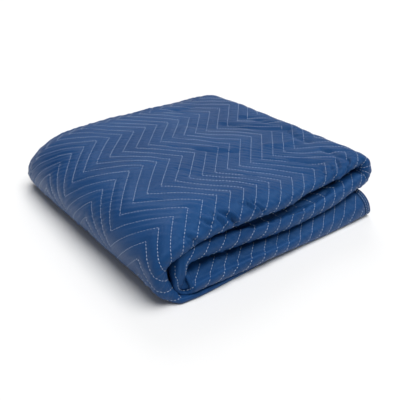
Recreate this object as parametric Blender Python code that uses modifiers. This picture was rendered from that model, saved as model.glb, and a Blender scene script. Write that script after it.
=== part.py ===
"""A quilted moving blanket, folded for the shelf.

The blanket is one quilted cloth with a tape binding on each of its four edges. It is folded in half and in
half again along its length, which makes a strip of four plies. The strip is then folded in half twice, so
four strip layers lie on each other: base, third, second and top, counted from the surface up.

The cloth is one sheet. Its section runs back and forth across the strip, and the strip's spine runs from
the right end of the base, round the broad left turn, over the top, round the right turn, back along the
second layer, round the tight inner turn and out along the third layer.
"""

import math

import bmesh
import bpy
import numpy as np
from mathutils import Vector

# Cloth and strip, in metres
CLOTH = 0.0046  # thickness of the quilted cloth
PLY_PITCH = 0.0066  # from one ply of the strip to the next
EDGE_CLOTH = 0.0018  # the cloth is pressed thin inside its binding
HALF = 1.5 * PLY_PITCH + CLOTH / 2  # half the thickness of a four-ply strip
LAYER_PITCH = 0.0290  # from one strip layer to the next
TOP_LEVEL = 3 * LAYER_PITCH + 2 * HALF  # the top face where it is neither crowned nor sagging

# Binding tape
TAPE = 0.0009  # thickness
TAPE_LEG = 0.0130  # width of the tape on each face of the cloth
CLEARANCE = 0.0003
PRESSED_TO = TAPE_LEG + 0.0005  # the cloth is thin up to here from its edge
FULL_FROM = TAPE_LEG + 0.0040  # and has its full thickness from here

# Plan, measured from a point that then moves to the middle of the folded blanket's box
TO_MIDDLE = Vector((0.0035, 0.0120, 0.0))
BACK_Y = 0.2390
TURN_REACH = LAYER_PITCH / 2
BASE_END_X = 0.2310
THIRD_END_X = 0.2060
END_SLANT = 0.0300  # how far the lower plies run out past the upper ones at the two ends
SLANT_RUN = 0.0900  # the slant grows over this length
DROOP_RADIUS = 0.0200  # bend of the front edge of the third layer over the base

# The left turn, as the outer face of the strip: how it changes from the front to the back. The inner turn
# keeps clear of it. Columns: y, x of the leftmost point, its height, reach of the upper curve, reach of the
# lower curve, x where the inner turn starts
LEFT_TURN = (
    (-0.250, -0.2460, 0.0600, 0.1215, 0.0410, -0.1770),
    (-0.190, -0.2460, 0.0590, 0.1215, 0.0480, -0.1750),
    (-0.137, -0.2455, 0.0570, 0.1215, 0.0500, -0.1730),
    (-0.027, -0.2435, 0.0530, 0.1240, 0.0480, -0.1650),
    (0.113, -0.2395, 0.0450, 0.1280, 0.0430, -0.1430),
    (0.200, -0.2345, 0.0370, 0.1300, 0.0340, -0.1220),
    (0.243, -0.2265, 0.0290, 0.1340, 0.0280, -0.1100),
)
BASE_LENGTH = 0.43  # about how long the base and the third layer are

# Where the right turn starts: y, x
RIGHT_TURN = ((-0.250, 0.2080), (-0.190, 0.2100), (0.000, 0.2130), (0.190, 0.2110), (0.243, 0.2020))

# Height of the top face. Rows: y, then the height at each x of CROWN_X
CROWN_X = (-0.180, -0.125, -0.070, -0.020, 0.030, 0.090, 0.150, 0.215)
CROWN = (
    (-0.250, 0.1100, 0.1120, 0.1120, 0.1095, 0.1065, 0.1050, 0.1075, 0.1155),
    (-0.205, 0.1235, 0.1245, 0.1215, 0.1160, 0.1100, 0.1055, 0.1105, 0.1160),
    (-0.124, 0.1230, 0.1225, 0.1175, 0.1120, 0.1085, 0.1075, 0.1075, 0.1150),
    (-0.043, 0.1215, 0.1215, 0.1190, 0.1155, 0.1140, 0.1130, 0.1110, 0.1160),
    (0.040, 0.1160, 0.1160, 0.1165, 0.1160, 0.1135, 0.1110, 0.1115, 0.1160),
    (0.120, 0.1125, 0.1130, 0.1130, 0.1130, 0.1120, 0.1105, 0.1115, 0.1160),
    (0.190, 0.1105, 0.1110, 0.1115, 0.1120, 0.1115, 0.1105, 0.1110, 0.1130),
    (0.245, 0.1065, 0.1070, 0.1090, 0.1100, 0.1100, 0.1095, 0.1092, 0.1092),
)
SECOND_FOLLOWS = 0.50  # share of the crown that the second layer takes up
THIRD_FOLLOWS = 0.20

# Fall of each layer at the rounded back edge
BACK_FALL_FROM = 0.190
BACK_FALL = {"third": 0.0048, "second": 0.0066, "top": 0.0068}
BACK_PRESS = 0.12  # share by which the plies come together there

# The spine's parts, in order
BASE, LEFT, TOP, RIGHT, SECOND, INNER, THIRD = range(7)

# The front edge of the strip along the spine: a tongue that runs on past bend_y and may droop. Near that
# edge the plies stand further apart or closer by the share named loft, and the strip sinks by sink.
# Columns: place on the spine, bend_y, length of the tongue, droop in degrees, loft, sink
FRONT_EDGE = (
    (BASE + 0.00, -0.2060, 0.0080, 0.0, -0.15, 0.0015),
    (BASE + 0.86, -0.2060, 0.0080, 0.0, -0.15, 0.0015),
    (BASE + 0.93, -0.2080, 0.0080, 0.0, -0.15, 0.0015),
    (LEFT + 0.00, -0.2140, 0.0085, 0.0, -0.15, 0.0015),
    (LEFT + 0.14, -0.2200, 0.0100, 0.0, -0.10, 0.0010),
    (LEFT + 0.27, -0.2250, 0.0120, 0.0, 0.00, 0.0),
    (LEFT + 0.64, -0.2258, 0.0120, 0.0, 0.00, 0.0),
    (LEFT + 0.88, -0.2258, 0.0130, 10.0, 0.00, 0.0),
    (TOP + 0.20, -0.2255, 0.0145, 22.0, 0.00, 0.0),
    (TOP + 0.60, -0.2190, 0.0145, 16.0, 0.00, 0.0),
    (TOP + 0.80, -0.2180, 0.0140, 10.0, 0.00, 0.0),
    (RIGHT + 0.20, -0.2220, 0.0120, 0.0, 0.00, 0.0),
    (SECOND + 0.00, -0.2250, 0.0120, 0.0, 0.00, 0.0020),
    (SECOND + 0.33, -0.2275, 0.0120, 0.0, 0.15, 0.0040),
    (SECOND + 0.67, -0.2270, 0.0120, 0.0, 0.15, 0.0035),
    (INNER + 0.00, -0.2258, 0.0120, 0.0, 0.00, 0.0020),
    (INNER + 0.40, -0.2258, 0.0130, 4.0, 0.00, 0.0025),
    (INNER + 1.00, -0.2270, 0.0190, 24.0, 0.00, 0.0030),
    (THIRD + 0.06, -0.2290, 0.0250, 42.0, 0.00, 0.0035),
    (THIRD + 0.13, -0.2310, 0.0310, 62.0, 0.00, 0.0040),
    (THIRD + 0.20, -0.2325, 0.0352, 80.0, 0.00, 0.0040),
    (THIRD + 1.00, -0.2322, 0.0352, 80.0, 0.00, 0.0040),
)
FRONT_SOFT_Y = -0.165  # loft and sink grow from here to bend_y

# Stations along the spine: part of the spine, then the shares of that part where the cloth has a row
STATIONS = (
    (BASE, (0.43, 0.86)),
    (LEFT, (0.0, 0.14, 0.27, 0.40, 0.52, 0.64, 0.76, 0.88)),
    (TOP, (0.0, 0.20, 0.40, 0.60, 0.80)),
    (RIGHT, (0.0, 0.20, 0.40, 0.60, 0.80)),
    (SECOND, (0.0, 0.33, 0.67)),
    (INNER, (0.0, 0.20, 0.40, 0.60, 0.80)),
    (THIRD, (0.0, 0.06, 0.13, 0.20, 0.45, 0.70)),
)
FROM_BACK = (0.130, 0.270, 0.380)  # rows of each ply, from the back edge
TONGUE_ROWS = (0.5, 1.0)

NAVY = (0.030, 0.075, 0.210, 1.0)
TAPE_NAVY = (0.022, 0.055, 0.160, 1.0)
TINY = 1e-4


def between(table, column, at):
    """The value in a column of a table, at a place between its rows."""
    return float(np.interp(at, [row[0] for row in table], [row[column] for row in table]))


def smooth(share):
    share = min(max(share, 0.0), 1.0)
    return share * share * (3 - 2 * share)


def crown(x, y):
    """Height of the top face."""
    rows = [float(np.interp(x, CROWN_X, row[1:])) for row in CROWN]
    return float(np.interp(y, [row[0] for row in CROWN], rows))


def to_back(y):
    """0 up to where the back edge starts to round, 1 at that edge."""
    return smooth((y - BACK_FALL_FROM) / (BACK_Y - BACK_FALL_FROM))


def fall(layer, y):
    return BACK_FALL[layer] * to_back(y)


def top_z(x, y):
    return crown(x, y) - HALF - fall("top", y)


def second_z(x, y):
    return HALF + 2 * LAYER_PITCH + SECOND_FOLLOWS * (crown(x, y) - TOP_LEVEL) - fall("second", y)


def third_z(x, y):
    return HALF + LAYER_PITCH + THIRD_FOLLOWS * (crown(x, y) - TOP_LEVEL) - fall("third", y)


def inner_turn_x(y):
    return between(LEFT_TURN, 5, y)


def right_turn_x(y):
    return between(RIGHT_TURN, 1, y)


def turn(x, reach, upper_z, lower_z, angle):
    """A half-round turn that starts at its upper layer; a negative reach turns to the left."""
    middle, half = (upper_z + lower_z) / 2, (upper_z - lower_z) / 2
    return x + reach * math.sin(angle), middle + half * math.cos(angle)


def spine(place, y):
    """Point (x, z) of the strip's middle, for a place on the spine and a distance across it."""
    part = min(int(place), THIRD)
    share = place - part
    left_x = between(LEFT_TURN, 1, y) + HALF
    left_z = between(LEFT_TURN, 2, y)
    upper = between(LEFT_TURN, 3, y) - HALF
    lower = between(LEFT_TURN, 4, y) - HALF
    top_from, base_to = left_x + upper, left_x + lower
    if part == BASE:
        return BASE_END_X + share * (base_to - BASE_END_X), HALF
    if part == LEFT:
        angle = share * math.pi
        if share < 0.5:
            return base_to - lower * math.sin(angle), left_z - (left_z - HALF) * math.cos(angle)
        rise = top_z(top_from, y) - left_z
        return top_from - upper * math.sin(angle), left_z - rise * math.cos(angle)
    if part == TOP:
        x = top_from + share * (right_turn_x(y) - top_from)
        return x, top_z(x, y)
    if part == RIGHT:
        x = right_turn_x(y)
        return turn(x, TURN_REACH, top_z(x, y), second_z(x, y), share * math.pi)
    if part == SECOND:
        x = right_turn_x(y) + share * (inner_turn_x(y) - right_turn_x(y))
        return x, second_z(x, y)
    if part == INNER:
        x = inner_turn_x(y)
        return turn(x, -TURN_REACH, second_z(x, y), third_z(x, y), share * math.pi)
    x = inner_turn_x(y) + share * (THIRD_END_X - inner_turn_x(y))
    return x, third_z(x, y)


def place_from_end(at_base, distance):
    """Place on the spine at a distance from the base's or the third layer's end."""
    share = distance / BASE_LENGTH
    return BASE + share if at_base else THIRD + 1 - share


def stations():
    places = [place_from_end(True, d) for d in (0.0, PRESSED_TO, FULL_FROM)]
    places += [part + share for part, shares in STATIONS for share in shares]
    return places + [place_from_end(False, d) for d in (FULL_FROM, PRESSED_TO, 0.0)]


def section(place):
    """The strip from edge to edge at a place: four plies with their folds.

    Each point is (y, sink below the spine, height off the spine, distance out, tilt, share of thickness). The
    tilt is how far the front has drooped there: it turns the height and the way out about the X axis.
    """
    bend_y, tongue, droop, loft, sink = (between(FRONT_EDGE, column, place) for column in range(1, 6))

    def run_point(y, off):
        soft = smooth((FRONT_SOFT_Y - y) / (FRONT_SOFT_Y - bend_y))
        height = off * (1 + loft * soft) * (1 - BACK_PRESS * to_back(y))
        return y, sink * soft, height, 0.0, 0.0, 1 + min(loft, 0.0) * soft

    def front(length, off, lean=0.0):
        tilt = min(length / DROOP_RADIUS, math.radians(droop))
        rest = length - tilt * DROOP_RADIUS
        y = bend_y - DROOP_RADIUS * math.sin(tilt) - rest * math.cos(tilt)
        drop = DROOP_RADIUS * (1 - math.cos(tilt)) + rest * math.sin(tilt)
        height, out = off * (1 + loft) * math.cos(lean), abs(off) * (1 + loft) * math.sin(lean)
        return y, drop + sink, height, out, tilt, 1 + min(loft, 0.0)

    def run(off, edge):
        return [run_point(BACK_Y - d, off) for d in edge + FROM_BACK] + [run_point(bend_y, off)]

    tongue_at = [tongue * share for share in TONGUE_ROWS]
    outer, inner = 1.5 * PLY_PITCH, 0.5 * PLY_PITCH
    bound, folded = (0.0, PRESSED_TO, FULL_FROM), (PLY_PITCH / 2, FULL_FROM)
    points = run(-outer, bound) + [front(d, -outer) for d in tongue_at]
    points += [front(tongue, -outer, math.radians(a)) for a in (36, 72)]
    points += [front(tongue, outer, math.radians(a)) for a in (72, 36)]
    points += [front(d, outer) for d in reversed(tongue_at)]
    points += reversed(run(outer, folded))
    points += [
        run_point(BACK_Y - PLY_PITCH / 2 + inner * math.sin(a), PLY_PITCH + inner * math.cos(a))
        for a in (math.radians(60), math.radians(120))
    ]
    points += run(inner, folded) + [front(d, inner) for d in tongue_at]
    points += [front(tongue, inner, math.radians(50)), front(tongue, -inner, math.radians(50))]
    points += [front(d, -inner) for d in reversed(tongue_at)]
    return points + list(reversed(run(-inner, bound)))


def cloth_point(place, y, sink, height, out, tilt):
    x, z = spine(place, y)
    x0, z0 = spine(max(place - TINY, 0.0), y)
    x1, z1 = spine(min(place + TINY, THIRD + 1 - 1e-9), y)
    along = Vector((x1 - x0, 0.0, z1 - z0)).normalized()
    raised = height * along.x
    point = Vector((x - height * along.z, y, z - sink))
    point.y -= raised * math.sin(tilt) + out * math.cos(tilt)
    point.z += raised * math.cos(tilt) - out * math.sin(tilt)
    low = 1 - smooth(point.z / (2 * LAYER_PITCH))
    if place > THIRD:
        to_end = (THIRD + 1 - place) * BASE_LENGTH
        point.x += END_SLANT * low * (1 - smooth(to_end / SLANT_RUN))
    return point + TO_MIDDLE


def cloth_grid():
    """Middle surface of the cloth: one row of points for each station."""
    return [[cloth_point(place, *point[:5]) for point in section(place)] for place in stations()]


def sheet_object(name, rows, material, thickness, collection):
    """A grid laid on rows of points, made into a solid of even thickness about them."""
    across, along = len(rows[0]), len(rows)
    bm = bmesh.new()
    bmesh.ops.create_grid(bm, x_segments=across - 1, y_segments=along - 1, size=1.0)
    bm.verts.ensure_lookup_table()
    for index, vertex in enumerate(bm.verts):
        vertex.co = rows[index // across][index % across]
    mesh = bpy.data.meshes.new(name)
    bm.to_mesh(mesh)
    bm.free()
    mesh.shade_smooth()
    mesh.materials.append(material)
    piece = bpy.data.objects.new(name, mesh)
    collection.objects.link(piece)
    solid = piece.modifiers.new("cloth", "SOLIDIFY")
    solid.thickness = thickness
    solid.offset = 0.0
    solid.use_rim = True
    return piece


def press_thin(piece, edge_share):
    """Presses the cloth thin inside the bindings and where its front edge is squashed, with a vertex group."""
    shares = [[point[5] for point in section(place)] for place in stations()]
    across, along = len(shares[0]), len(shares)
    group = piece.vertex_groups.new(name="thickness")
    for index in range(across * along):
        i, j = index // across, index % across
        bound = min(i, along - 1 - i, j, across - 1 - j) < 2
        group.add([index], edge_share if bound else shares[i][j], "REPLACE")
    solid = piece.modifiers["cloth"]
    solid.vertex_group = group.name


def tape_over(edge, edge_normal, inner, inner_normal):
    """Section of a tape folded over an edge of the cloth, from one leg to the other."""
    off = EDGE_CLOTH / 2 + CLEARANCE + TAPE / 2
    outward = (edge - inner).normalized()
    rim = edge + outward * CLEARANCE
    return [
        inner + inner_normal * off,
        rim + edge_normal * off,
        rim + outward * off,
        rim - edge_normal * off,
        inner - inner_normal * off,
    ]


def tape_rows(grid, cloth, from_edge, along_spine):
    """Rows of the tape on one edge: from_edge is 1 at the first row or column, -1 at the last."""
    across = len(grid[0])
    normals = [vertex.normal.copy() for vertex in cloth.data.vertices]
    first = 0 if from_edge > 0 else -1
    count = len(grid) if along_spine else across
    rows = []
    for k in range(count):
        edge_at = (k, first % across) if along_spine else (first % len(grid), k)
        inner_at = (k, edge_at[1] + from_edge) if along_spine else (edge_at[0] + from_edge, k)
        edge, pressed = grid[edge_at[0]][edge_at[1]], grid[inner_at[0]][inner_at[1]]
        inner = edge.lerp(pressed, TAPE_LEG / PRESSED_TO)
        edge_normal, inner_normal = (normals[i * across + j] for i, j in (edge_at, inner_at))
        rows.append(tape_over(edge, edge_normal, inner, inner_normal))
    return rows


def fabric(name, colour, roughness):
    material = bpy.data.materials.new(name)
    material.use_nodes = True
    shader = material.node_tree.nodes["Principled BSDF"]
    shader.inputs["Base Color"].default_value = colour
    shader.inputs["Roughness"].default_value = roughness
    shader.inputs["Metallic"].default_value = 0.0
    material.diffuse_color = colour
    return material


def main():
    for existing in list(bpy.data.objects):
        bpy.data.objects.remove(existing, do_unlink=True)
    blanket = bpy.data.collections.new("moving_blanket")
    bpy.context.scene.collection.children.link(blanket)

    grid = cloth_grid()
    cloth = sheet_object("quilted_cloth", grid, fabric("quilted navy", NAVY, 0.75), CLOTH, blanket)
    press_thin(cloth, EDGE_CLOTH / CLOTH)

    tape = fabric("binding tape", TAPE_NAVY, 0.65)
    for name, from_edge in (("binding_base_end", 1), ("binding_third_end", -1)):
        sheet_object(name, tape_rows(grid, cloth, from_edge, False), tape, TAPE, blanket)
    for name, from_edge in (("binding_long_outer", 1), ("binding_long_inner", -1)):
        between_ends = tape_rows(grid, cloth, from_edge, True)[1:-1]
        sheet_object(name, between_ends, tape, TAPE, blanket)


main()
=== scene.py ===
"""Looks of the folded quilted moving blanket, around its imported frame.

The cloth is one sheet folded as the frame's solid is: a strip of four plies whose spine runs from the right
end of the base, round the broad left turn, over the top, round the right turn, back along the second layer,
round the tight inner turn and out along the third layer. Sizes are in metres.
"""

import math

import bpy
import numpy as np
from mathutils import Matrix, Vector


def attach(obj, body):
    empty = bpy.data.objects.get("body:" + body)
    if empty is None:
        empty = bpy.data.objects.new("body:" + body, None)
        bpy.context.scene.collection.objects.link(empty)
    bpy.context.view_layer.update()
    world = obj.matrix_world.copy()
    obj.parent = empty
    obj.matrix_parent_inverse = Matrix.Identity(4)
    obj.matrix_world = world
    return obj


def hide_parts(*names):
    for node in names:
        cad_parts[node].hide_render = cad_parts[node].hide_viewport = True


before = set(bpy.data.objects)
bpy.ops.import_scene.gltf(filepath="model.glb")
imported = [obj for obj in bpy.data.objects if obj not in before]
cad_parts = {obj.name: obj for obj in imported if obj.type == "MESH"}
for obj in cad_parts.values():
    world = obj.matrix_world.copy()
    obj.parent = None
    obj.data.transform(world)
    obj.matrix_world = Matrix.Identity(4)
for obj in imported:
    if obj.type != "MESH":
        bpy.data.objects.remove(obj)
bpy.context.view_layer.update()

# ---------------------------------------------------------------- sizes of the folded strip
CLOTH = 0.0046  # thickness of one quilted ply
PLY_PITCH = 0.0066  # from one ply of the strip to the next
HALF = 1.5 * PLY_PITCH + CLOTH / 2  # half the strip's thickness
LAYER_PITCH = 0.0290  # from one layer of the strip to the next
TOP_LEVEL = 3 * LAYER_PITCH + 2 * HALF
TO_MIDDLE = np.array((0.0035, 0.0120, 0.0))  # puts the middle of the stack's box on the origin
BACK_Y = 0.2390
BASE_END_X = 0.2310
THIRD_END_X = 0.2120
END_SLANT = 0.0090  # how far the bound end of the third layer leans out, low down
SLANT_RUN = 0.0900
BASE_LENGTH = 0.43
DROOP_RADIUS = 0.0200
BACK_FALL_FROM = 0.190
FRONT_SOFT_Y = -0.165  # the front edge's loft and lift begin here
SECOND_FOLLOWS = 0.50  # share of the crown that shows in the layers under it
THIRD_FOLLOWS = 0.20
PLACE_STEP = 2e-3  # on the spine, for its slope
BASE, LEFT, TOP, RIGHT, SECOND, INNER, THIRD = range(7)
PARTS_END = THIRD + 1.0

# Columns: y, x of the leftmost point, its height, upper reach, lower reach, x of the inner turn, its reach
LEFT_TURN = np.array(
    (
        (-0.250, -0.2460, 0.0600, 0.1215, 0.0410, -0.1830, 0.0180),
        (-0.190, -0.2460, 0.0590, 0.1215, 0.0500, -0.1760, 0.0155),
        (-0.137, -0.2455, 0.0570, 0.1215, 0.0520, -0.1740, 0.0150),
        (-0.027, -0.2435, 0.0530, 0.1240, 0.0500, -0.1670, 0.0145),
        (0.113, -0.2395, 0.0450, 0.1280, 0.0430, -0.1430, 0.0145),
        (0.200, -0.2345, 0.0370, 0.1300, 0.0340, -0.1220, 0.0145),
        (0.243, -0.2265, 0.0290, 0.1340, 0.0280, -0.1100, 0.0145),
    )
)
# Where the right turn starts, from the front to the back
RIGHT_TURN_Y = np.array((-0.250, -0.190, -0.100, 0.100, 0.190, 0.243))
RIGHT_TURN_X = np.array((0.2080, 0.2100, 0.2120, 0.2130, 0.2110, 0.2020))
# Height of the top over the stack's plan, with one row for each CROWN_Y and one column for each CROWN_X
CROWN_X = np.array((-0.240, -0.180, -0.125, -0.070, -0.020, 0.030, 0.090, 0.150, 0.195, 0.235))
CROWN_Y = np.array((-0.250, -0.205, -0.124, -0.043, 0.040, 0.120, 0.190, 0.245))
CROWN = np.array(
    (
        (0.1080, 0.1100, 0.1120, 0.1120, 0.1095, 0.1065, 0.1050, 0.1075, 0.1145, 0.1165),
        (0.1215, 0.1235, 0.1245, 0.1215, 0.1160, 0.1100, 0.1050, 0.1105, 0.1155, 0.1170),
        (0.1215, 0.1230, 0.1225, 0.1175, 0.1120, 0.1085, 0.1075, 0.1065, 0.1135, 0.1170),
        (0.1205, 0.1215, 0.1215, 0.1190, 0.1155, 0.1140, 0.1130, 0.1105, 0.1145, 0.1175),
        (0.1150, 0.1160, 0.1160, 0.1165, 0.1160, 0.1135, 0.1105, 0.1115, 0.1150, 0.1175),
        (0.1120, 0.1125, 0.1130, 0.1130, 0.1130, 0.1120, 0.1100, 0.1115, 0.1150, 0.1175),
        (0.1100, 0.1105, 0.1110, 0.1115, 0.1120, 0.1115, 0.1105, 0.1110, 0.1140, 0.1150),
        (0.1060, 0.1065, 0.1070, 0.1090, 0.1100, 0.1100, 0.1095, 0.1085, 0.1075, 0.1065),
    )
)
BACK_FALL = {"third": 0.0048, "second": 0.0066, "top": 0.0073}  # drop of each layer at the back edge
BACK_PRESS = 0.12

# The strip's front edge. Columns: place on the spine, bend_y, tongue, droop in degrees, loft, lift
FRONT_EDGE = np.array(
    (
        (BASE + 0.00, -0.2060, 0.0080, 0.0, -0.15, -0.0015),
        (BASE + 0.22, -0.2080, 0.0080, 0.0, -0.25, -0.0028),
        (BASE + 0.33, -0.2300, 0.0110, 0.0, -0.60, -0.0073),
        (BASE + 0.43, -0.2370, 0.0120, 0.0, -0.68, -0.0083),
        (BASE + 0.60, -0.2400, 0.0120, 0.0, -0.68, -0.0083),
        (BASE + 0.78, -0.2440, 0.0120, 0.0, -0.68, -0.0083),
        (BASE + 0.92, -0.2460, 0.0120, 0.0, -0.66, -0.0080),
        (LEFT + 0.00, -0.2430, 0.0120, 0.0, -0.60, -0.0072),
        (LEFT + 0.08, -0.2370, 0.0120, 0.0, -0.40, -0.0045),
        (LEFT + 0.16, -0.2300, 0.0120, 0.0, -0.20, -0.0020),
        (LEFT + 0.30, -0.2265, 0.0120, 0.0, 0.00, 0.0),
        (LEFT + 0.60, -0.2258, 0.0120, 0.0, 0.00, 0.0),
        (LEFT + 0.90, -0.2258, 0.0150, 28.0, 0.00, 0.0),
        (TOP + 0.30, -0.2255, 0.0155, 32.0, 0.00, 0.0),
        (TOP + 0.45, -0.2230, 0.0150, 20.0, -0.10, 0.0),
        (TOP + 0.60, -0.2170, 0.0140, 10.0, -0.20, 0.0010),
        (TOP + 0.90, -0.2160, 0.0130, 5.0, -0.20, 0.0010),
        (RIGHT + 0.30, -0.2215, 0.0120, 0.0, 0.00, 0.0),
        (SECOND + 0.00, -0.2250, 0.0120, 0.0, 0.10, -0.0040),
        (SECOND + 0.20, -0.2285, 0.0120, 0.0, 0.15, -0.0095),
        (SECOND + 0.42, -0.2295, 0.0120, 0.0, 0.20, -0.0145),
        (SECOND + 0.60, -0.2290, 0.0120, 0.0, 0.20, -0.0140),
        (SECOND + 0.78, -0.2270, 0.0120, 0.0, 0.15, -0.0100),
        (SECOND + 0.95, -0.2258, 0.0120, 0.0, 0.10, -0.0050),
        (INNER + 0.15, -0.2258, 0.0125, 2.0, 0.05, -0.0055),
        (INNER + 0.35, -0.2258, 0.0200, 50.0, 0.00, -0.0085),
        (INNER + 0.60, -0.2270, 0.0285, 78.0, 0.00, -0.0115),
        (INNER + 0.90, -0.2290, 0.0230, 80.0, 0.00, -0.0120),
        (THIRD + 0.05, -0.2305, 0.0220, 80.0, 0.00, -0.0115),
        (THIRD + 0.12, -0.2320, 0.0235, 80.0, 0.00, -0.0100),
        (THIRD + 0.20, -0.2325, 0.0240, 80.0, 0.00, -0.0110),
        (THIRD + 0.38, -0.2325, 0.0225, 80.0, 0.00, -0.0140),
        (THIRD + 0.52, -0.2320, 0.0235, 80.0, 0.00, -0.0150),
        (THIRD + 0.75, -0.2320, 0.0305, 80.0, 0.00, -0.0110),
        (THIRD + 1.00, -0.2322, 0.0355, 80.0, 0.00, -0.0050),
    )
)


# ---------------------------------------------------------------- curves through tables
def even_slopes(steps):
    """Slopes at the points of a curve that never overshoots its table."""
    before, after = steps[:-1], steps[1:]
    total = before + after
    inside = np.where(before * after > 0, 2 * before * after / np.where(total == 0, 1, total), 0.0)
    return np.concatenate((steps[:1], inside, steps[-1:]))


def through(keys, values, at):
    """A smooth curve through (key, value) points. values is one row, or one row for each key."""
    keys = np.asarray(keys, float)
    values = np.asarray(values, float)
    at = np.clip(at, keys[0], keys[-1])
    i = np.clip(np.searchsorted(keys, at, side="right") - 1, 0, len(keys) - 2)
    gap = np.diff(keys)
    if values.ndim == 1:
        slopes = even_slopes(np.diff(values) / gap)
        v0, v1, m0, m1 = values[i], values[i + 1], slopes[i], slopes[i + 1]
    else:
        slopes = even_slopes(np.diff(values, axis=0) / gap[:, None])
        k = np.arange(values.shape[1])
        v0, v1, m0, m1 = values[i, k], values[i + 1, k], slopes[i, k], slopes[i + 1, k]
    w = gap[i]
    t = (at - keys[i]) / w
    return (
        v0 * (1 + 2 * t) * (1 - t) ** 2
        + m0 * w * t * (1 - t) ** 2
        + v1 * t * t * (3 - 2 * t)
        + m1 * w * t * t * (t - 1)
    )


def smooth(share):
    share = np.clip(share, 0.0, 1.0)
    return share * share * (3 - 2 * share)


def crown(x, y):
    rows = np.stack([through(CROWN_X, row, x) for row in CROWN])
    return through(CROWN_Y, rows, y)


def to_back(y):
    """0 up to where the back edge starts to round, 1 at that edge."""
    return smooth((y - BACK_FALL_FROM) / (BACK_Y - BACK_FALL_FROM))


def fall(layer, y):
    return BACK_FALL[layer] * to_back(y)


def top_z(x, y):
    return crown(x, y) - HALF - fall("top", y)


def second_z(x, y):
    return HALF + 2 * LAYER_PITCH + SECOND_FOLLOWS * (crown(x, y) - TOP_LEVEL) - fall("second", y)


def third_z(x, y):
    return HALF + LAYER_PITCH + THIRD_FOLLOWS * (crown(x, y) - TOP_LEVEL) - fall("third", y)


def spine(place, y):
    """x and z of the strip's middle, for places on the spine and distances across it."""
    part = np.clip(np.floor(place), 0, THIRD)
    share = place - part
    turn = [through(LEFT_TURN[:, 0], LEFT_TURN[:, c], y) for c in range(1, 7)]
    left_x, left_z = turn[0] + HALF, turn[1]
    upper, lower = turn[2] - HALF, turn[3] - HALF
    inner_x, reach = turn[4], turn[5]
    top_from, base_to = left_x + upper, left_x + lower
    angle = share * math.pi
    x, z = np.zeros_like(y), np.zeros_like(y)

    def fill(mask, px, pz):
        x[mask], z[mask] = px[mask], pz[mask]

    fill(part == BASE, BASE_END_X + share * (base_to - BASE_END_X), np.full_like(y, HALF))
    under = (part == LEFT) & (share < 0.5)
    fill(under, base_to - lower * np.sin(angle), left_z - (left_z - HALF) * np.cos(angle))
    over = (part == LEFT) & (share >= 0.5)
    over_x = top_from - upper * np.sin(angle)
    fill(over, over_x, left_z - (top_z(over_x, y) - left_z) * np.cos(angle))
    turn_x = through(RIGHT_TURN_Y, RIGHT_TURN_X, y)
    top_x = top_from + share * (turn_x - top_from)
    fill(part == TOP, top_x, top_z(top_x, y))
    high, low = top_z(turn_x, y), second_z(turn_x, y)
    fill(
        part == RIGHT,
        turn_x + LAYER_PITCH / 2 * np.sin(angle),
        (high + low) / 2 + (high - low) / 2 * np.cos(angle),
    )
    second_x = turn_x + share * (inner_x - turn_x)
    fill(part == SECOND, second_x, second_z(second_x, y))
    high, low = second_z(inner_x, y), third_z(inner_x, y)
    fill(
        part == INNER,
        inner_x - reach * np.sin(angle),
        (high + low) / 2 + (high - low) / 2 * np.cos(angle),
    )
    third_x = inner_x + share * (THIRD_END_X - inner_x)
    fill(part == THIRD, third_x, third_z(third_x, y))
    return x, z


def lay(place, y, drop, off, out, tilt):
    """Points of the strip: dropped from its spine, then a height off it and a distance out past its front.

    tilt is how far the front has drooped there: it turns the height and the way out about the X axis.
    """
    x, z = spine(place, y)
    x0, z0 = spine(np.clip(place - PLACE_STEP, 0, PARTS_END), y)
    x1, z1 = spine(np.clip(place + PLACE_STEP, 0, PARTS_END - 1e-9), y)
    dx, dz = x1 - x0, z1 - z0
    size = np.hypot(dx, dz)
    up_x, up_z = -dz / size, dx / size
    px = x + off * up_x
    py = y - off * up_z * np.sin(tilt) - out * np.cos(tilt)
    pz = z - drop + off * up_z * np.cos(tilt) - out * np.sin(tilt)
    low = 1 - smooth(pz / (2 * LAYER_PITCH))
    to_end = (PARTS_END - place) * BASE_LENGTH
    slant = END_SLANT * low * (1 - smooth(to_end / SLANT_RUN))
    px = px + np.where(place > THIRD, slant, 0.0)
    return np.stack((px, py, pz), -1)


# ---------------------------------------------------------------- rows across the cloth, stations along it
EDGE_CLOTH = 0.0018
TAPE_LEG = 0.0130  # how far a binding reaches in over each face
PRESSED_TO = TAPE_LEG + 0.0005
FULL_FROM = TAPE_LEG + 0.0040
STEP = 0.0025  # spacing on the surfaces that show
STRIP_WIDTH = BACK_Y + 0.2220
TONGUE_ROWS = 8
FRONT_ROWS = 14
FOLD_ROWS = 6
FRONT_SHARE = 0.91  # of the way across the strip, from where its rows are close
FIRST_SHARE = 0.051  # of the base's length, just past its binding
LAST_SHARE = 0.955  # of the third layer's length, just before its binding
RUN, TONGUE, CAP, BACK_CAP = range(4)


def evenly(start, stop, count):
    """Shares from start up to, but not at, stop."""
    return [start + (stop - start) * i / count for i in range(count)]


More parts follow.
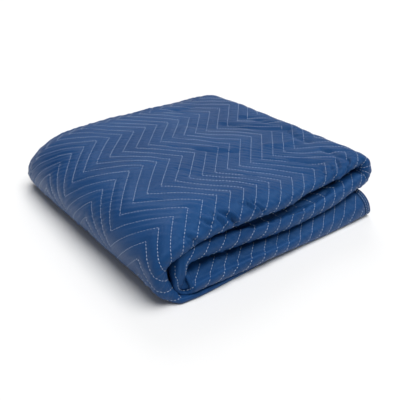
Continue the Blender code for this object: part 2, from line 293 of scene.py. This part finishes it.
def build_rows():
    """Each row: kind, ply in pitches off the middle, and a share or an angle. Blocks name their spans."""
    bound = [0.0, PRESSED_TO / STRIP_WIDTH, FULL_FROM / STRIP_WIDTH]
    hidden = [0.12, 0.22, 0.33, 0.44, 0.55, 0.66, 0.77, 0.86]
    back = PLY_PITCH / 2 / STRIP_WIDTH
    made = (
        ("under_run", RUN, -1.5, bound + hidden),
        ("under_front", RUN, -1.5, evenly(FRONT_SHARE, 1.0, TONGUE_ROWS)),
        ("under_tongue", TONGUE, -1.5, evenly(0.0, 1.0, TONGUE_ROWS)),
        ("nose", CAP, 1.5, evenly(180, 0, FRONT_ROWS)),
        ("face", TONGUE, 1.5, evenly(1.0, 0.0, FRONT_ROWS)),
        ("skin", RUN, 1.5, evenly(1.0, back, int(STRIP_WIDTH / STEP))),
        ("back_fold", BACK_CAP, 1.0, evenly(0, 180, FOLD_ROWS)),
        ("second_run", RUN, 0.5, [back, 0.06] + hidden + [0.93]),
        ("second_tongue", TONGUE, 0.5, evenly(0.0, 1.0, TONGUE_ROWS)),
        ("inner_nose", CAP, 0.5, evenly(0, 180, FOLD_ROWS)),
        ("last_tongue", TONGUE, -0.5, evenly(1.0, 0.0, TONGUE_ROWS)),
        ("last_run", RUN, -0.5, [1.0, 0.93] + hidden[::-1] + bound[::-1]),
    )
    rows, blocks = [], {}
    for name, kind, ply, values in made:
        blocks[name] = (len(rows), len(rows) + len(values))
        rows += [(kind, ply, value) for value in values]
    return rows, blocks


def build_stations():
    """Places along the spine, and blocks that name their spans."""
    bound = [0.0, PRESSED_TO / BASE_LENGTH, FULL_FROM / BASE_LENGTH]
    made = (
        ("base", bound + evenly(FIRST_SHARE, 1.0, 72)),
        ("left", [LEFT + f for f in evenly(0.0, 0.5, 34) + evenly(0.5, 1.0, 62)]),
        ("top", [TOP + f for f in evenly(0.0, 1.0, 132)]),
        ("right", [RIGHT + f for f in evenly(0.0, 1.0, 36)]),
        ("second", [SECOND + f for f in evenly(0.0, 1.0, 112)]),
        ("inner", [INNER + f for f in evenly(0.0, 1.0, 28)]),
        (
            "third",
            [THIRD + f for f in evenly(0.0, LAST_SHARE, 116)] + [PARTS_END - f for f in bound[::-1]],
        ),
    )
    places, blocks = [], {}
    for name, values in made:
        blocks[name] = (len(places), len(places) + len(values))
        places += values
    return np.array(places), blocks


ROWS, ROW_BLOCKS = build_rows()
PLACES, STATION_BLOCKS = build_stations()
R_COUNT, C_COUNT = len(ROWS), len(PLACES)


def surface_points():
    """Middle of the cloth at every row and station, and the share of its thickness left there."""
    bend_y, tongue, droop, loft, lift = (
        through(FRONT_EDGE[:, 0], FRONT_EDGE[:, c], PLACES) for c in range(1, 6)
    )
    droop = np.radians(droop)
    points, squash = np.zeros((R_COUNT, C_COUNT, 3)), np.ones((R_COUNT, C_COUNT))
    none = np.zeros(C_COUNT)
    for i, (kind, ply, value) in enumerate(ROWS):
        full = ply * PLY_PITCH
        if kind in (RUN, BACK_CAP):
            y, off = BACK_Y - value * (BACK_Y - bend_y), full
            if kind == BACK_CAP:
                a = math.radians(value)
                y = none + BACK_Y - PLY_PITCH / 2 + PLY_PITCH / 2 * math.sin(a)
                off = PLY_PITCH + PLY_PITCH / 2 * math.cos(a)
            soft = smooth((FRONT_SOFT_Y - y) / (FRONT_SOFT_Y - bend_y))
            off = off * (1 + loft * soft) * (1 - BACK_PRESS * to_back(y))
            points[i] = lay(PLACES, y, -lift * soft, off, none, none)
            squash[i] = 1 + np.minimum(loft, 0.0) * soft
            continue
        length = tongue * (value if kind == TONGUE else 1.0)
        a = math.radians(value) if kind == CAP else 0.0
        tilt = np.minimum(length / DROOP_RADIUS, droop)
        rest = length - tilt * DROOP_RADIUS
        y = bend_y - DROOP_RADIUS * np.sin(tilt) - rest * np.cos(tilt)
        drop = DROOP_RADIUS * (1 - np.cos(tilt)) + rest * np.sin(tilt) - lift
        reach = full * (1 + loft)
        points[i] = lay(PLACES, y, drop, reach * math.cos(a), abs(reach) * math.sin(a), tilt)
        squash[i] = 1 + np.minimum(loft, 0.0)
    return points, squash


def unit(v):
    return v / np.maximum(np.linalg.norm(v, axis=-1, keepdims=True), 1e-12)


def surface():
    """Middle of the cloth and its outward normal at every row and station."""
    points, squash = surface_points()
    normals = unit(np.cross(np.gradient(points, axis=1), np.gradient(points, axis=0)))
    return points + TO_MIDDLE, normals, squash


MIDDLE, NORMAL, SQUASH = surface()


# ---------------------------------------------------------------- the quilting's chevrons, on the flat cloth
LINE_PITCH = 0.0275  # between two stitch lines, along the strip
CHEVRON_HALF = 0.0813  # from one corner of a line to the next, across the strip
CHEVRON_REACH = 0.0373
RIGHT_CORNER_W = 0.1190  # a corner of the lines that points along +X on the top
LINE_FROM = -0.0278  # middle of the line whose corner is there
S_KNOWN_X = 0.03  # x on the top where a distance along the strip is x itself
# How far the lines have slipped along the strip, from place to place on the spine
SLIP = np.array(
    ((TOP + 1.0, 0.0), (SECOND + 0.2, 0.0100), (INNER + 0.0, 0.0110), (THIRD + 0.1, 0.0145))
)


def zigzag(w):
    """Place of a stitch line along the strip, from its middle, at a distance across the cloth."""
    share = (w - RIGHT_CORNER_W) / CHEVRON_HALF
    return CHEVRON_REACH * (1 - 2 * np.abs(share - 2 * np.round(share / 2)))


def cloth_places():
    """w across and s along the strip, of every row and station, as lengths on the outer skin."""
    skin = range(*ROW_BLOCKS["skin"])
    outer = MIDDLE + NORMAL * CLOTH / 2
    along = np.linalg.norm(np.diff(outer, axis=1), axis=2)
    s = np.concatenate((np.zeros((R_COUNT, 1)), np.cumsum(along, axis=1)), axis=1)
    front = skin[0]
    for i in range(R_COUNT):
        if i not in skin:
            s[i] = s[front] if i < ROW_BLOCKS["second_run"][0] else s[skin[-1]]
    x = MIDDLE[..., 0] - TO_MIDDLE[0]
    known = slice(*STATION_BLOCKS["top"])
    zero = [np.interp(S_KNOWN_X, x[i, known], s[i, known]) for i in range(R_COUNT)]
    s = s - np.array(zero)[:, None] + S_KNOWN_X
    across = np.linalg.norm(np.diff(outer, axis=0), axis=2)
    w = np.concatenate((np.zeros((1, C_COUNT)), np.cumsum(across, axis=0)), axis=0)
    middle = (skin[0] + skin[-1]) // 2
    w = w - w[middle] + MIDDLE[middle, :, 1] - TO_MIDDLE[1]
    return w, s + np.interp(PLACES, SLIP[:, 0], SLIP[:, 1])


W, S = cloth_places()


# ---------------------------------------------------------------- relief of the skin
PUFF = 0.0011  # rise of the quilting between two lines

# Creases, at distances across and along the cloth. Columns: w and s of both ends, half width, rise
FRONT_LIP_CREASES = (
    # the pinch, and the small folds that fan out beside it
    (-0.238, -0.119, -0.252, -0.113, 0.0025, -0.0044),
    (-0.252, -0.113, -0.266, -0.100, 0.0025, -0.0044),
    (-0.238, -0.134, -0.256, -0.126, 0.0025, -0.0036),
    (-0.243, -0.111, -0.259, -0.104, 0.0020, -0.0034),
    (-0.239, -0.128, -0.259, -0.119, 0.0030, 0.0034),
    (-0.241, -0.107, -0.258, -0.098, 0.0030, 0.0030),
    (-0.232, -0.143, -0.248, -0.140, 0.0030, -0.0022),
    (-0.237, -0.155, -0.253, -0.143, 0.0025, -0.0030),
    (-0.235, -0.144, -0.248, -0.136, 0.0030, 0.0028),
    (-0.240, -0.162, -0.254, -0.152, 0.0030, 0.0022),
    # a second, weaker pinch to its right
    (-0.235, -0.078, -0.244, -0.070, 0.0025, -0.0028),
    (-0.238, -0.070, -0.250, -0.065, 0.0025, -0.0034),
    (-0.242, -0.056, -0.261, -0.043, 0.0025, -0.0040),
    (-0.241, -0.063, -0.256, -0.056, 0.0030, 0.0030),
    (-0.236, -0.049, -0.248, -0.040, 0.0030, -0.0022),
    # small dents under the front left corner
    (-0.250, -0.185, -0.268, -0.180, 0.0025, -0.0034),
    (-0.246, -0.193, -0.262, -0.189, 0.0025, -0.0026),
    (-0.260, -0.178, -0.270, -0.173, 0.0025, -0.0032),
    # shallow folds behind the lip
    (-0.228, -0.174, -0.251, -0.155, 0.0040, -0.0014),
    (-0.212, -0.156, -0.234, -0.140, 0.0045, -0.0010),
    (-0.215, 0.100, -0.240, 0.085, 0.0045, -0.0010),
    (-0.218, 0.127, -0.237, 0.118, 0.0030, -0.0026),
    (-0.223, 0.145, -0.246, 0.135, 0.0030, -0.0026),
    # the sharp fold across the front right corner
    (-0.228, 0.184, -0.252, 0.164, 0.0025, -0.0060),
    (-0.214, 0.168, -0.240, 0.150, 0.0030, -0.0030),
    (-0.233, 0.175, -0.250, 0.150, 0.0040, 0.0018),
)
TOP_CREASES = (
    # long troughs towards the right end
    (0.040, 0.120, -0.060, 0.200, 0.0080, -0.0042),
    (0.045, 0.175, -0.020, 0.200, 0.0065, -0.0036),
    (-0.060, 0.190, -0.125, 0.190, 0.0070, -0.0038),
    (-0.170, 0.180, -0.220, 0.185, 0.0055, -0.0036),
    (-0.160, 0.110, -0.200, 0.140, 0.0055, -0.0034),
    (0.195, 0.045, 0.165, 0.125, 0.0070, -0.0028),
    (-0.090, 0.115, -0.105, 0.165, 0.0085, 0.0028),
    # softer ones over the middle and the left
    (0.090, 0.050, 0.015, 0.115, 0.0080, -0.0016),
    (0.000, -0.030, -0.060, 0.025, 0.0080, -0.0016),
    (-0.035, 0.000, -0.080, 0.050, 0.0075, -0.0030),
    (-0.095, -0.090, -0.150, -0.055, 0.0080, -0.0024),
)
INNER_CREASES = (
    # the long dent along the second layer's front, and the small folds over it
    (-0.289, 0.600, -0.292, 0.470, 0.0060, -0.0042),
    (-0.292, 0.470, -0.287, 0.395, 0.0055, -0.0036),
    (-0.285, 0.600, -0.281, 0.575, 0.0025, -0.0028),
    (-0.280, 0.598, -0.278, 0.580, 0.0025, 0.0024),
    (-0.286, 0.576, -0.282, 0.560, 0.0025, -0.0028),
    (-0.284, 0.540, -0.278, 0.526, 0.0025, -0.0022),
    (-0.286, 0.506, -0.280, 0.463, 0.0025, -0.0032),
    (-0.283, 0.506, -0.276, 0.464, 0.0025, 0.0026),
    (-0.290, 0.495, -0.285, 0.456, 0.0025, -0.0034),
    (-0.289, 0.424, -0.285, 0.404, 0.0025, -0.0028),
    (-0.286, 0.424, -0.282, 0.400, 0.0025, 0.0022),
    # two dents in the end of the roll
    (-0.267, 0.701, -0.270, 0.708, 0.0030, -0.0024),
    (-0.261, 0.715, -0.275, 0.715, 0.0030, -0.0044),
    # a dent and a soft ridge on the hanging front
    (-0.242, 0.805, -0.274, 0.796, 0.0055, -0.0018),
    (-0.242, 0.776, -0.266, 0.768, 0.0050, 0.0010),
)
# Each group, with how much the thin shell deepens its folds
CREASE_GROUPS = ((FRONT_LIP_CREASES, 1.45), (TOP_CREASES, 1.25), (INNER_CREASES, 1.35))
PANEL_CREASE_W = -0.2655  # where the hanging front of the third layer changes from sunken to full
PANEL_DENT = 0.0040
PANEL_FLARE = 0.0032
RIPPLE_RUN = (-0.77, 0.64)  # way along the fine ripples of the shell cloth
RIPPLE_LENGTH = 0.0100
RIPPLE_FINE = 0.00062
RIPPLE_BROAD = 0.00090


def crease(w0, s0, w1, s1, half, rise):
    """One soft trough or ridge between two points, fading at its ends."""
    dw, ds = w1 - w0, s1 - s0
    size = math.hypot(dw, ds)
    along = ((W - w0) * dw + (S - s0) * ds) / size
    off = ((W - w0) * ds - (S - s0) * dw) / size
    off = off + 0.25 * half * np.sin(along / size * 5 + s0 * 90)
    past = np.maximum(np.maximum(-along, along - size), 0.0)
    return rise * np.exp(-((off / half) ** 2)) * np.exp(-((past / (1.4 * half)) ** 2))


def panel_relief():
    """The hanging front of the third layer: sunken above its crease, full under it."""
    on = smooth((PLACES - THIRD + 0.10) / 0.12)
    shallow = 1 - 0.65 * smooth((PLACES - THIRD - 0.40) / 0.30)
    above = smooth((W - PANEL_CREASE_W) / 0.0040) * smooth((-0.2290 - W) / 0.0100)
    below = smooth((PANEL_CREASE_W + 0.0010 - W) / 0.0030) * smooth((W + 0.2880) / 0.0200)
    return on * shallow * (PANEL_FLARE * below - PANEL_DENT * above)


def ripples():
    """Fine uneven ripples, as thin shell cloth puckers between its quilting lines."""
    across = W * RIPPLE_RUN[1] - S * RIPPLE_RUN[0]
    along = W * RIPPLE_RUN[0] + S * RIPPLE_RUN[1]
    turn = 2 * math.pi / RIPPLE_LENGTH
    wander = 0.9 * np.sin(along * 47 + 1.3) + 0.7 * np.sin(along * 83 + across * 31)
    patches = smooth(0.5 + 0.45 * np.sin(S * 41 + W * 23 + 0.6) + 0.35 * np.sin(W * 67 - S * 29))
    fine = np.sin(across * turn + wander) + 0.6 * np.sin(across * turn * 0.62 - wander + 2.0)
    broad = np.sin(S * 52 + 1.1 * np.sin(W * 37)) * np.sin(W * 44 + 0.8 * np.sin(S * 31 + 1.0))
    return RIPPLE_FINE * fine * (0.35 + 0.65 * patches) + RIPPLE_BROAD * broad


def relief():
    """Rise of the skin over the plain fold. Nothing rises on the ply that lies on the floor."""
    share = (S - LINE_FROM - zigzag(W)) / LINE_PITCH
    from_line = np.abs(share - np.round(share)) * 2
    puff = PUFF * np.sin(from_line * math.pi / 2) ** 0.8
    lowest = 1 - smooth(MIDDLE[..., 2] / HALF - 0.4)
    rise = puff + ripples()
    for rows, crush in CREASE_GROUPS:
        rise = rise + crush * sum(crease(*row) for row in rows)
    return rise * (1 - lowest) + panel_relief()


def thickness():
    """The cloth is pressed thin inside its bindings."""
    thin = np.ones((R_COUNT, C_COUNT), bool)
    thin[2:-2, 2:-2] = False
    return np.where(thin, EDGE_CLOTH, CLOTH * SQUASH)


THICK = thickness()
SKIN_RISE = np.where(THICK <= EDGE_CLOTH, 0.0, relief())
OUTER = MIDDLE + NORMAL * (THICK / 2 + SKIN_RISE)[..., None]
OUTER[..., 2] = np.maximum(OUTER[..., 2], 0.0)
LINING = MIDDLE - NORMAL * (THICK / 2)[..., None]


# ---------------------------------------------------------------- mesh of the sheet
def cell_size(rows, stations):
    """Rows and stations that one face of the outer skin spans, in a block of each."""
    if rows == "skin":
        if stations in ("left", "top", "right"):
            return 1, 1
        return (2, 1) if stations == "base" else (8, 4)
    if rows == "nose":
        return 1, 1
    if rows == "face":
        return (1, 1) if stations == "third" else (2, 1)
    if rows == "back_fold":
        return 1, 2
    if rows in ("under_tongue", "under_front"):
        return (1, 1) if stations == "second" else (2, 2)
    return 1, 4


def tiles(size_of):
    """Corner rows and stations (i0, i1, j0, j1) of the faces that cover the grid."""
    found = []
    for rows, (i_from, i_to) in ROW_BLOCKS.items():
        for stations, (j_from, j_to) in STATION_BLOCKS.items():
            di, dj = size_of(rows, stations)
            i_end, j_end = min(i_to, R_COUNT - 1), min(j_to, C_COUNT - 1)
            for i in range(i_from, i_end, di):
                for j in range(j_from, j_end, dj):
                    found.append((i, min(i + di, i_end), j, min(j + dj, j_end)))
    return found


def used_corners(faces):
    """Which grid points are a corner of some face."""
    used = np.zeros((R_COUNT, C_COUNT), bool)
    for i0, i1, j0, j1 in faces:
        used[i0, j0] = used[i0, j1] = used[i1, j0] = used[i1, j1] = True
    return used


def walk(face, used):
    """The used grid points round a face, in order."""
    i0, i1, j0, j1 = face
    if i1 - i0 == 1 and j1 - j0 == 1:
        return [(i0, j0), (i0, j1), (i1, j1), (i1, j0)]
    ring = [(i0, j) for j in range(j0, j1)] + [(i, j1) for i in range(i0, i1)]
    ring += [(i1, j) for j in range(j1, j0, -1)] + [(i, j0) for i in range(i1, i0, -1)]
    return [point for point in ring if used[point]]


def rim_points():
    """The grid points round the sheet's edge, in order."""
    last_i, last_j = R_COUNT - 1, C_COUNT - 1
    ring = [(0, j) for j in range(last_j)] + [(i, last_j) for i in range(last_i)]
    return ring + [(last_i, j) for j in range(last_j, 0, -1)] + [(i, 0) for i in range(last_i, 0, -1)]


def mesh_object(name, points, faces, material):
    mesh = bpy.data.meshes.new(name)
    mesh.from_pydata(points, [], faces)
    mesh.update()
    mesh.shade_smooth()
    mesh.materials.append(material)
    piece = bpy.data.objects.new(name, mesh)
    bpy.context.scene.collection.objects.link(piece)
    return piece


def sheet_mesh(name, material):
    """One closed mesh: the outer skin, the lining and the rim between them."""
    skin_faces = tiles(cell_size)
    lining_faces = tiles(lambda rows, stations: (4, 4))
    rim = rim_points()
    skin_used, lining_used = used_corners(skin_faces), used_corners(lining_faces)
    rim_used = skin_used | lining_used
    for point in rim:
        skin_used[point] = lining_used[point] = rim_used[point]
    rim = [point for point in rim if rim_used[point]]
    skin_index = np.cumsum(skin_used.ravel()).reshape(skin_used.shape) - 1
    lining_index = np.cumsum(lining_used.ravel()).reshape(skin_used.shape) + skin_index[-1, -1]
    faces = [[skin_index[p] for p in walk(face, skin_used)] for face in skin_faces]
    faces += [[lining_index[p] for p in walk(face, lining_used)[::-1]] for face in lining_faces]
    for a, b in zip(rim, rim[1:] + rim[:1]):
        faces.append([skin_index[b], skin_index[a], lining_index[a], lining_index[b]])
    points = np.concatenate((OUTER[skin_used], LINING[lining_used]))
    return mesh_object(name, points, faces, material)


# ---------------------------------------------------------------- stitches
STITCH = 0.0037  # length of thread that shows
STITCH_PITCH = 0.0054
THREAD_WIDE = 0.00068
THREAD_HIGH = 0.00045
THREAD_SINK = 0.6  # share of its height that a thread lies in the cloth
RING_WIDTHS = np.array((0.45, 1.0, 1.0, 0.45))
RING_HEIGHTS = np.array((-0.5, 1.0, 1.0, -0.5))
RINGS = len(RING_WIDTHS)
TRACE_STEP = 0.0010
FEWEST_POINTS = 6  # a run of a line with no more points than this has no stitch


def at_grid(field, rows, stations):
    """Values of a grid between its points."""
    i = np.clip(rows.astype(int), 0, R_COUNT - 2)
    j = np.clip(stations.astype(int), 0, C_COUNT - 2)
    a, b = (rows - i)[:, None], (stations - j)[:, None]
    return (
        field[i, j] * (1 - a) * (1 - b)
        + field[i + 1, j] * a * (1 - b)
        + field[i, j + 1] * (1 - a) * b
        + field[i + 1, j + 1] * a * b
    )


def line_on_grid(number, row_block_from, row_block_to):
    """Rows and stations of one stitch line, between two blocks of rows. Stations are NaN off the strip."""
    first, last = ROW_BLOCKS[row_block_from][0], ROW_BLOCKS[row_block_to][1] - 1
    w_of_rows = W[first : last + 1, C_COUNT // 3]
    span = w_of_rows[-1] - w_of_rows[0]
    steps = max(2, int(span / TRACE_STEP))
    rows = np.interp(
        np.linspace(0, 1, steps),
        (w_of_rows - w_of_rows[0]) / span,
        np.arange(first, last + 1, dtype=float),
    )
    stations = np.full(steps, np.nan)
    i = np.clip(rows.astype(int), 0, R_COUNT - 2)
    share = rows - i
    for k in range(steps):
        w = W[i[k]] * (1 - share[k]) + W[i[k] + 1] * share[k]
        s = S[i[k]] * (1 - share[k]) + S[i[k] + 1] * share[k]
        over = s - (LINE_FROM + zigzag(w) + number * LINE_PITCH)
        cross = np.nonzero((over[:-1] <= 0) & (over[1:] > 0))[0]
        if len(cross):
            j = cross[0]
            stations[k] = j - over[j] / (over[j + 1] - over[j])
    return rows, stations


def resample(points, normals, start=0.0):
    """Dashes along a path: a point and a normal for each ring of each."""
    steps = np.linalg.norm(np.diff(points, axis=0), axis=1)
    at = np.concatenate(([0.0], np.cumsum(steps)))
    count = int((at[-1] - start) / STITCH_PITCH)
    if count < 1:
        return np.zeros((0, RINGS, 3)), np.zeros((0, RINGS, 3))
    places = start + np.arange(count)[:, None] * STITCH_PITCH + np.linspace(0, STITCH, RINGS)[None]

    def on_path(field):
        return np.stack([np.interp(places, at, field[:, c]) for c in range(3)], -1)

    return on_path(points), unit(on_path(normals))


def pieces_of(rows, stations):
    """Runs of a line that stay on the strip."""
    on = ~np.isnan(stations)
    edges = np.nonzero(np.diff(np.concatenate(([0], on.astype(int), [0]))))[0]
    spans = zip(edges[::2], edges[1::2])
    return [(rows[a:b], stations[a:b]) for a, b in spans if b - a > FEWEST_POINTS]


def thread_object(name, paths, material):
    """Many short stitches as one mesh, with four sides each."""
    points = np.concatenate([p for p, _ in paths])
    normals = np.concatenate([n for _, n in paths])
    count = len(points)
    along = unit(np.gradient(points, axis=1))
    side = unit(np.cross(normals, along))
    width = RING_WIDTHS[None, :, None] * THREAD_WIDE / 2
    height = RING_HEIGHTS[None, :, None] * THREAD_HIGH
    corners = (
        points + side * width,
        points + normals * height,
        points - side * width,
        points - normals * THREAD_HIGH * THREAD_SINK,
    )
    rings = np.stack(corners, axis=2)
    rings[..., 2] = np.maximum(rings[..., 2], 0.0)
    sides = len(corners)
    faces = []
    for ring in range(RINGS - 1):
        for corner in range(sides):
            a, b = ring * sides + corner, ring * sides + (corner + 1) % sides
            faces.append([a, b, b + sides, a + sides])
    last = (RINGS - 1) * sides
    faces += [list(range(sides))[::-1], list(range(last, last + sides))]
    base = np.arange(count)[:, None] * RINGS * sides
    faces = (base[:, None] + np.array(faces)[None]).reshape(-1, 4)
    return mesh_object(name, rings.reshape(-1, 3), faces.tolist(), material)


def quilting_paths(row_from, row_to, s_low, s_high):
    """Stitches of every line whose middle lies between two places along the strip."""
    paths = []
    low = math.ceil((s_low - LINE_FROM) / LINE_PITCH)
    high = math.ceil((s_high - LINE_FROM) / LINE_PITCH) - 1
    for number in range(low, high + 1):
        rows, stations = line_on_grid(number, row_from, row_to)
        for piece_rows, piece_stations in pieces_of(rows, stations):
            points = at_grid(OUTER, piece_rows, piece_stations)
            normals = at_grid(NORMAL, piece_rows, piece_stations)
            thick = at_grid(THICK[..., None], piece_rows, piece_stations)[:, 0]
            whole = thick > EDGE_CLOTH * 1.1
            points, normals = points[whole], normals[whole]
            if len(points) > FEWEST_POINTS:
                paths.append(resample(points, unit(normals), (number * 0.37 % 1) * STITCH_PITCH))
    return [p for p in paths if len(p[0])]


# ---------------------------------------------------------------- bindings
TAPE = 0.0009  # thickness
TAPE_OFF = 0.0003  # clearance from the pressed cloth
TAPE_ROWS_FROM_EDGE = (0.0050, 0.0098)
TAPE_STITCH_RISE = 0.0002


def tape_profile():
    """Closed section of the folded tape: distance in from the cloth's edge, and height off its middle."""
    inside = EDGE_CLOTH / 2 + TAPE_OFF
    outside = inside + TAPE
    half = [
        (TAPE_LEG, inside),
        (TAPE_LEG, outside - 0.0002),
        (TAPE_LEG - 0.0006, outside),
        (0.0070, outside + 0.0002),
        (0.0015, outside + 0.0001),
        (-0.0006, outside - 0.0006),
        (-0.0012, 0.0),
    ]
    outer = half + [(d, -h) for d, h in half[-2::-1]]
    return outer + [(0.0030, -inside), (-TAPE_OFF, 0.0), (0.0030, inside)]


def edge_lines():
    """Each edge of the cloth: its points, the way in, and the outer skin's normal."""
    def line(points, inner, normals):
        return points, unit(inner - points), unit(normals)

    a, b = 2, C_COUNT - 2
    return {
        "binding_base_end": line(MIDDLE[:, 0], MIDDLE[:, 2], NORMAL[:, 0]),
        "binding_third_end": line(MIDDLE[:, -1], MIDDLE[:, -3], NORMAL[:, -1]),
        "binding_long_outer": line(MIDDLE[0, a:b], MIDDLE[2, a:b], NORMAL[0, a:b]),
        "binding_long_inner": line(MIDDLE[-1, a:b], MIDDLE[-3, a:b], NORMAL[-1, a:b]),
    }


def tape_object(name, points, inward, normals, material):
    """The folded tape's section, swept along an edge of the cloth."""
    profile = tape_profile()
    rows = np.stack([points + inward * d + normals * h for d, h in profile], axis=1)
    rows[..., 2] = np.maximum(rows[..., 2], 0.0)
    count, around = rows.shape[:2]
    faces = []
    flip = np.dot(np.cross(points[1] - points[0], inward[0]), normals[0]) < 0
    for i in range(count - 1):
        for k in range(around):
            a, b = i * around + k, i * around + (k + 1) % around
            face = [a, b, b + around, a + around]
            faces.append(face if flip else face[::-1])
    caps = [list(range(around)), [(count - 1) * around + k for k in range(around)][::-1]]
    faces += [cap[::-1] for cap in caps] if flip else caps
    return mesh_object(name, rows.reshape(-1, 3), faces, material)


def tape_stitches(points, inward, normals):
    """Two rows of stitches along each face of a tape."""
    rise = EDGE_CLOTH / 2 + TAPE_OFF + TAPE + TAPE_STITCH_RISE
    found = []
    for row, from_edge in enumerate(TAPE_ROWS_FROM_EDGE):
        for side in (1, -1):
            path = points + inward * from_edge + normals * rise * side
            found.append(resample(path, normals * side, row * STITCH_PITCH / 2))
    return found


# ---------------------------------------------------------------- materials
def material_with(name, build):
    material = bpy.data.materials.new(name)
    material.use_nodes = True
    tree = material.node_tree
    build(tree.nodes, tree.links, tree.nodes["Principled BSDF"])
    return material


def set_value(node, socket, value):
    node.inputs[socket].default_value = value


def new_node(nodes, kind, operation=None, **values):
    """A node with some of its values set. A name's underscores are spaces."""
    node = nodes.new(kind)
    if operation:
        node.operation = operation
    for socket, value in values.items():
        set_value(node, socket.replace("_", " "), value)
    return node


def cloth_material(name, dark, light, roughness, sheen):
    """Cloth whose colour wanders between two shades, with a fine weave and a slight sheen."""
    def build(nodes, links, shader):
        place = nodes.new("ShaderNodeTexCoord").outputs["Object"]
        broad = new_node(nodes, "ShaderNodeTexNoise", Scale=9.0, Detail=4.0)
        fine = new_node(nodes, "ShaderNodeTexNoise", Scale=900.0, Detail=2.0)
        weave = new_node(nodes, "ShaderNodeTexWave", Scale=700.0, Distortion=1.5)
        for texture in (broad, fine, weave):
            links.new(place, texture.inputs["Vector"])

        part = new_node(nodes, "ShaderNodeMath", "MULTIPLY_ADD")
        part.inputs[1].default_value = 0.5
        part.inputs[2].default_value = -0.12
        links.new(fine.outputs["Fac"], part.inputs[0])
        share = new_node(nodes, "ShaderNodeMath", "MULTIPLY_ADD")
        share.inputs[1].default_value = 0.75
        links.new(broad.outputs["Fac"], share.inputs[0])
        links.new(part.outputs[0], share.inputs[2])
        mix = nodes.new("ShaderNodeMix")
        mix.data_type = "RGBA"
        set_value(mix, "A", dark)
        set_value(mix, "B", light)
        links.new(share.outputs[0], mix.inputs["Factor"])
        links.new(mix.outputs["Result"], shader.inputs["Base Color"])

        height = new_node(nodes, "ShaderNodeMath", "ADD")
        links.new(weave.outputs["Fac"], height.inputs[0])
        links.new(fine.outputs["Fac"], height.inputs[1])
        bump = new_node(nodes, "ShaderNodeBump", Strength=0.35, Distance=0.0004)
        links.new(height.outputs[0], bump.inputs["Height"])
        links.new(bump.outputs["Normal"], shader.inputs["Normal"])

        set_value(shader, "Roughness", roughness)
        set_value(shader, "Specular IOR Level", 0.30)
        set_value(shader, "Specular Tint", (0.35, 0.62, 1.0, 1.0))
        set_value(shader, "Sheen Weight", sheen)
        set_value(shader, "Sheen Roughness", 0.45)
        set_value(shader, "Sheen Tint", (0.35, 0.5, 0.9, 1.0))

    return material_with(name, build)


def plain_material(name, colour, roughness):
    def build(nodes, links, shader):
        set_value(shader, "Base Color", colour)
        set_value(shader, "Roughness", roughness)

    return material_with(name, build)


# ---------------------------------------------------------------- the blanket
SKIN_FROM_S, SKIN_TO_S = -0.42, 0.30  # the skin's stitches lie between these places along the strip
PAST_END = 0.05


def blanket():
    navy = cloth_material(
        "quilted navy",
        dark=(0.004, 0.028, 0.108, 1),
        light=(0.015, 0.078, 0.232, 1),
        roughness=0.40,
        sheen=0.03,
    )
    tape_navy = cloth_material(
        "binding tape",
        dark=(0.005, 0.030, 0.105, 1),
        light=(0.010, 0.052, 0.160, 1),
        roughness=0.50,
        sheen=0.04,
    )
    thread = plain_material("thread", (0.66, 0.76, 0.90, 1), 0.6)

    cloth = sheet_mesh("blanket_cloth", navy)
    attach(cloth, "root")
    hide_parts("quilted_cloth")

    seams = []
    for name, (points, inward, normals) in edge_lines().items():
        tape = tape_object(name.replace("binding", "tape"), points, inward, normals, tape_navy)
        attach(tape, "root")
        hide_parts(name)
        seams += tape_stitches(points, inward, normals)

    groups = {
        "stitches_skin": quilting_paths("under_front", "skin", SKIN_FROM_S, SKIN_TO_S),
        "stitches_under": quilting_paths("under_front", "skin", S.min() - PAST_END, SKIN_FROM_S),
        "stitches_inside": quilting_paths("under_front", "face", SKIN_TO_S, S.max() + PAST_END),
        "stitches_tape": seams,
    }
    for name, paths in groups.items():
        piece = thread_object(name, paths, thread)
        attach(piece, "root")
        print(name, sum(len(p) for p, _ in paths), "stitches")


# ---------------------------------------------------------------- floor, light and camera
FLOOR_SIZE = 60.0
FLOOR_COLOUR = (0.83, 0.83, 0.83, 1)
WORLD_STRENGTH = 0.20
# Name, the way up to the sun, strength, and spread in degrees
SUNS = (
    ("overhead", (0.12, -0.26, 1.0), 3.1, 50.0),
    ("behind", (0.54, 0.69, 0.64), 0.55, 26.0),
)
CAMERA_AT = (-0.5925, -0.8000, 0.537)
CAMERA_WAY = (0.538, 0.694, -0.479)
CAMERA_LENS = 51.66
SENSOR = 36.0


def stage():
    bpy.ops.mesh.primitive_plane_add(size=FLOOR_SIZE, location=(0, 0, 0))
    floor = bpy.context.object
    floor.name = "floor"
    floor.data.materials.append(plain_material("floor", FLOOR_COLOUR, 0.9))
    world = bpy.context.scene.world or bpy.data.worlds.new("world")
    bpy.context.scene.world = world
    world.use_nodes = True
    background = world.node_tree.nodes["Background"]
    set_value(background, "Color", (1.0, 1.0, 1.0, 1))
    set_value(background, "Strength", WORLD_STRENGTH)
    for name, lean, strength, spread in SUNS:
        data = bpy.data.lights.new(name, "SUN")
        data.energy = strength
        data.angle = math.radians(spread)
        light = bpy.data.objects.new(name, data)
        light.rotation_euler = Vector(lean).to_track_quat("Z", "Y").to_euler()
        bpy.context.scene.collection.objects.link(light)
    bpy.context.scene.view_settings.view_transform = "Standard"


def camera():
    data = bpy.data.cameras.new("camera")
    data.sensor_width = SENSOR
    data.lens = CAMERA_LENS
    camera_object = bpy.data.objects.new("camera", data)
    camera_object.location = Vector(CAMERA_AT) + Vector(TO_MIDDLE)
    camera_object.rotation_euler = Vector(CAMERA_WAY).to_track_quat("-Z", "Y").to_euler()
    bpy.context.scene.collection.objects.link(camera_object)
    bpy.context.scene.camera = camera_object


blanket()
stage()
camera()
bpy.context.view_layer.update()
